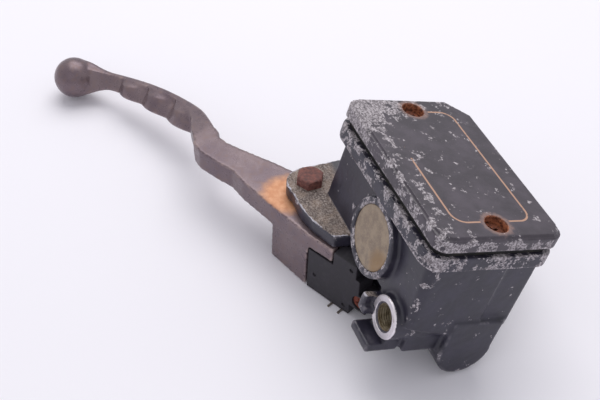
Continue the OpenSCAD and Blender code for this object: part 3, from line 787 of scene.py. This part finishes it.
def lens(name, node, outward, tint):
    """A sight glass with a slightly domed face, browner round a place that tint gives from its middle."""
    low, high = res_reach(node)
    radius = (high[0] - low[0]) / 2
    middle = [(a + b) / 2 for a, b in zip(low, high)]
    face, back = (high[1], low[1]) if outward > 0 else (low[1], high[1])
    place = frame_at(in_res(middle[0], face, middle[2]), res_y * outward)
    depth = abs(face - back)
    profile = [(0, -depth), (radius, -depth), (radius, -0.35), (radius - 0.35, -0.05)]
    for i in range(9):
        r = (radius - 1.2) * (1 - i / 8)
        profile.append((r, -0.25 * (r / radius) ** 2))
    mesh = mesh_of(lathe(profile, place, 128), name)
    mesh.shade_smooth()
    tint_at = in_res(middle[0] + tint[0], face, middle[2] + tint[1])
    put(name, mesh, window_paint(name + "_plastic", tint_at), "body", [node])


lens("front_sight_glass", "front_window", 1, (-9.5, -5.0))
lens("rear_sight_glass", "rear_window", -1, (4.0, -7.0))


# ---------------------------------------------------------------- bolts

def hex_head(height, corner_r, chamfer, turn, place):
    """Outlines of a hexagon head, its top corners turned off in a cone, from the frame's XY plane up."""
    sides = 72
    flat_r = corner_r * math.cos(math.pi / 6)

    def outline(limit):
        ring = []
        for k in range(sides):
            angle = 2 * math.pi * k / sides
            off = (angle + math.pi / 6) % (math.pi / 3) - math.pi / 6
            radius = min(flat_r / math.cos(off), limit)
            ring.append((radius * math.cos(angle + turn), radius * math.sin(angle + turn)))
        return ring
    levels = [
        (0, corner_r), (height - chamfer, corner_r), (height - chamfer * 0.45, flat_r * 1.06),
        (height - chamfer * 0.12, flat_r * 0.97), (height, flat_r * 0.90), (height, flat_r * 0.45),
        (height - 0.15, flat_r * 0.2)]
    return [[place @ (Vector((x, y, z)) * MM) for x, y in outline(limit)] for z, limit in levels]


def pivot_bolt_mesh():
    """A hexagon bolt with rounded corners and a plain shank."""
    low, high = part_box("pivot_bolt")
    corner_r, chamfer, shank_r = 5.7, 0.9, 3
    place = Matrix.Translation(Vector((pivot.x, pivot.y, ear_top * MM)))
    head = loft(hex_head(high.z / MM - ear_top, corner_r, chamfer, math.radians(2), place))
    bottom = low.z / MM - ear_top
    mesh = mesh_of(lathe([(0, bottom), (shank_r, bottom), (shank_r, 0.3), (0, 0.3)], place, 48), "shank")
    head.from_mesh(mesh)
    bpy.data.meshes.remove(mesh)
    return mesh_of(head, "pivot_bolt_rusty")


put("rusty_pivot_bolt", pivot_bolt_mesh(), bolt_rust, "body", ["pivot_bolt"])


# ---------------------------------------------------------------- CAD nodes that stay, with their own finish

# Node, material, slot, and the width of the bevel on its edges in millimetres
CARRIED = [
    ("cap_screws", screw_rust, "rusty_steel", 0.15), ("diaphragm", black_rubber, "rubber", 0.2),
    ("diaphragm_plate", zinc, "zinc_steel", 0.1), ("splash_plate", zinc, "zinc_steel", 0.1),
    ("window_seals", black_rubber, "rubber", 0.1), ("piston", spring_steel, "bright_aluminium", 0.1),
    ("primary_cup", black_rubber, "rubber", 0.1), ("secondary_cup", black_rubber, "rubber", 0.1),
    ("stop_washer", zinc, "zinc_steel", 0.1), ("circlip", zinc, "zinc_steel", 0.1),
    ("pivot_bush", bush_brass, "brass", 0.1), ("pivot_lock_nut", bolt_rust, "rusty_steel", 0.2),
    ("switch_plunger", pale_plastic, "white_plastic", 0.1), ("switch_terminals", zinc, "zinc_steel", 0.05),
    ("switch_screw", switch_rust, "rusty_steel", 0.15), ("clamp_bolts", zinc, "zinc_steel", 0.25),
    ("clamp_washers", zinc, "zinc_steel", 0.1), ("plunger_spring", spring_steel, "zinc_steel", 0)]
SHARP = math.radians(35)
# The weld joins the nodes' split points, so that the bevel finds their edges
for node, material, slot, width in CARRIED:
    dress(nodes[node], material)
    if width:
        weld = nodes[node].modifiers.new("weld", "WELD")
        weld.merge_threshold = 0.001 * MM
        bevel = nodes[node].modifiers.new("bevel", "BEVEL")
        bevel.width = width * MM
        bevel.segments = 2
        bevel.limit_method = "ANGLE"
        bevel.angle_limit = SHARP


# ---------------------------------------------------------------- clamp, boot and spring

put("cast_clamp", cast(copy_of("handlebar_clamp"), "cast_clamp", 0.5, 3, Matrix.Identity(4), 60000, 0.05),
    body_black, "body", ["handlebar_clamp"])

# The boot and the return spring are held at their inner end and pushed in by the piston at the other; here each is
# put on the body at its rest shape, with a mesh of its own
for name, node, material, slot in (
        ("bellows", "dust_boot", black_rubber, "rubber"),
        ("piston_spring", "return_spring", spring_steel, "zinc_steel")):
    mesh = mesh_of(copy_of(node), name)
    mesh.shade_smooth()
    piece = put(name, mesh, material, "body", [node])
    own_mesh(piece)


# ---------------------------------------------------------------- floor, light, camera

def floor_material():
    """A pale matt board with very faint broad clouds."""
    paint = Paint("pale_floor", Roughness=0.6, Specular_IOR_Level=0.3)
    return paint.finish(paint.mix(paint.clouds(220, 2, 0.5), rgb(240, 238, 245), rgb(243, 241, 248)))


FLOOR_HALF = 3.0
bm = bmesh.new()
bmesh.ops.create_grid(bm, x_segments=8, y_segments=8, size=FLOOR_HALF)
floor = bpy.data.objects.new("floor", mesh_of(bm, "floor"))
floor.location = (0.05, 0.05, cad_box[0].z)
floor.data.materials.append(floor_material())
bpy.context.scene.collection.objects.link(floor)

world = bpy.data.worlds.new("studio")
bpy.context.scene.world = world
world.use_nodes = True
surround = world.node_tree.nodes["Background"].inputs
surround["Color"].default_value = (0.96, 0.96, 1.0, 1)
surround["Strength"].default_value = 0.64
PART_MIDDLE = (0.03, 0.04, 0)


def soft_light(name, place, size, power):
    """A square light, its size in metres and its power in watts, aimed at the middle of the part."""
    lamp = bpy.data.lights.new(name, "AREA")
    lamp.size = size
    lamp.energy = power
    lamp.color = (1.0, 0.985, 0.97)
    holder = bpy.data.objects.new(name, lamp)
    holder.location = place
    holder.rotation_mode = "QUATERNION"
    holder.rotation_quaternion = (Vector(PART_MIDDLE) - Vector(place)).to_track_quat("-Z", "Y")
    bpy.context.scene.collection.objects.link(holder)


soft_light("overhead", (0.50, -0.14, 0.98), 1.0, 7.3)
soft_light("fill", (-0.6, 0.7, 0.7), 0.8, 0.6)

# The camera looks down on the front, from the inboard side
lens_data = bpy.data.cameras.new("camera")
lens_data.lens = 60.98
lens_data.sensor_width = 36
camera = bpy.data.objects.new("camera", lens_data)
camera.location = (-0.25163, 0.18059, 0.28283)
camera.rotation_euler = [math.radians(a) for a in (47.2985, -2.1495, -110.6273)]
bpy.context.scene.collection.objects.link(camera)
bpy.context.scene.camera = camera
lens_data.clip_start = 0.01
bpy.context.scene.view_settings.view_transform = "Standard"
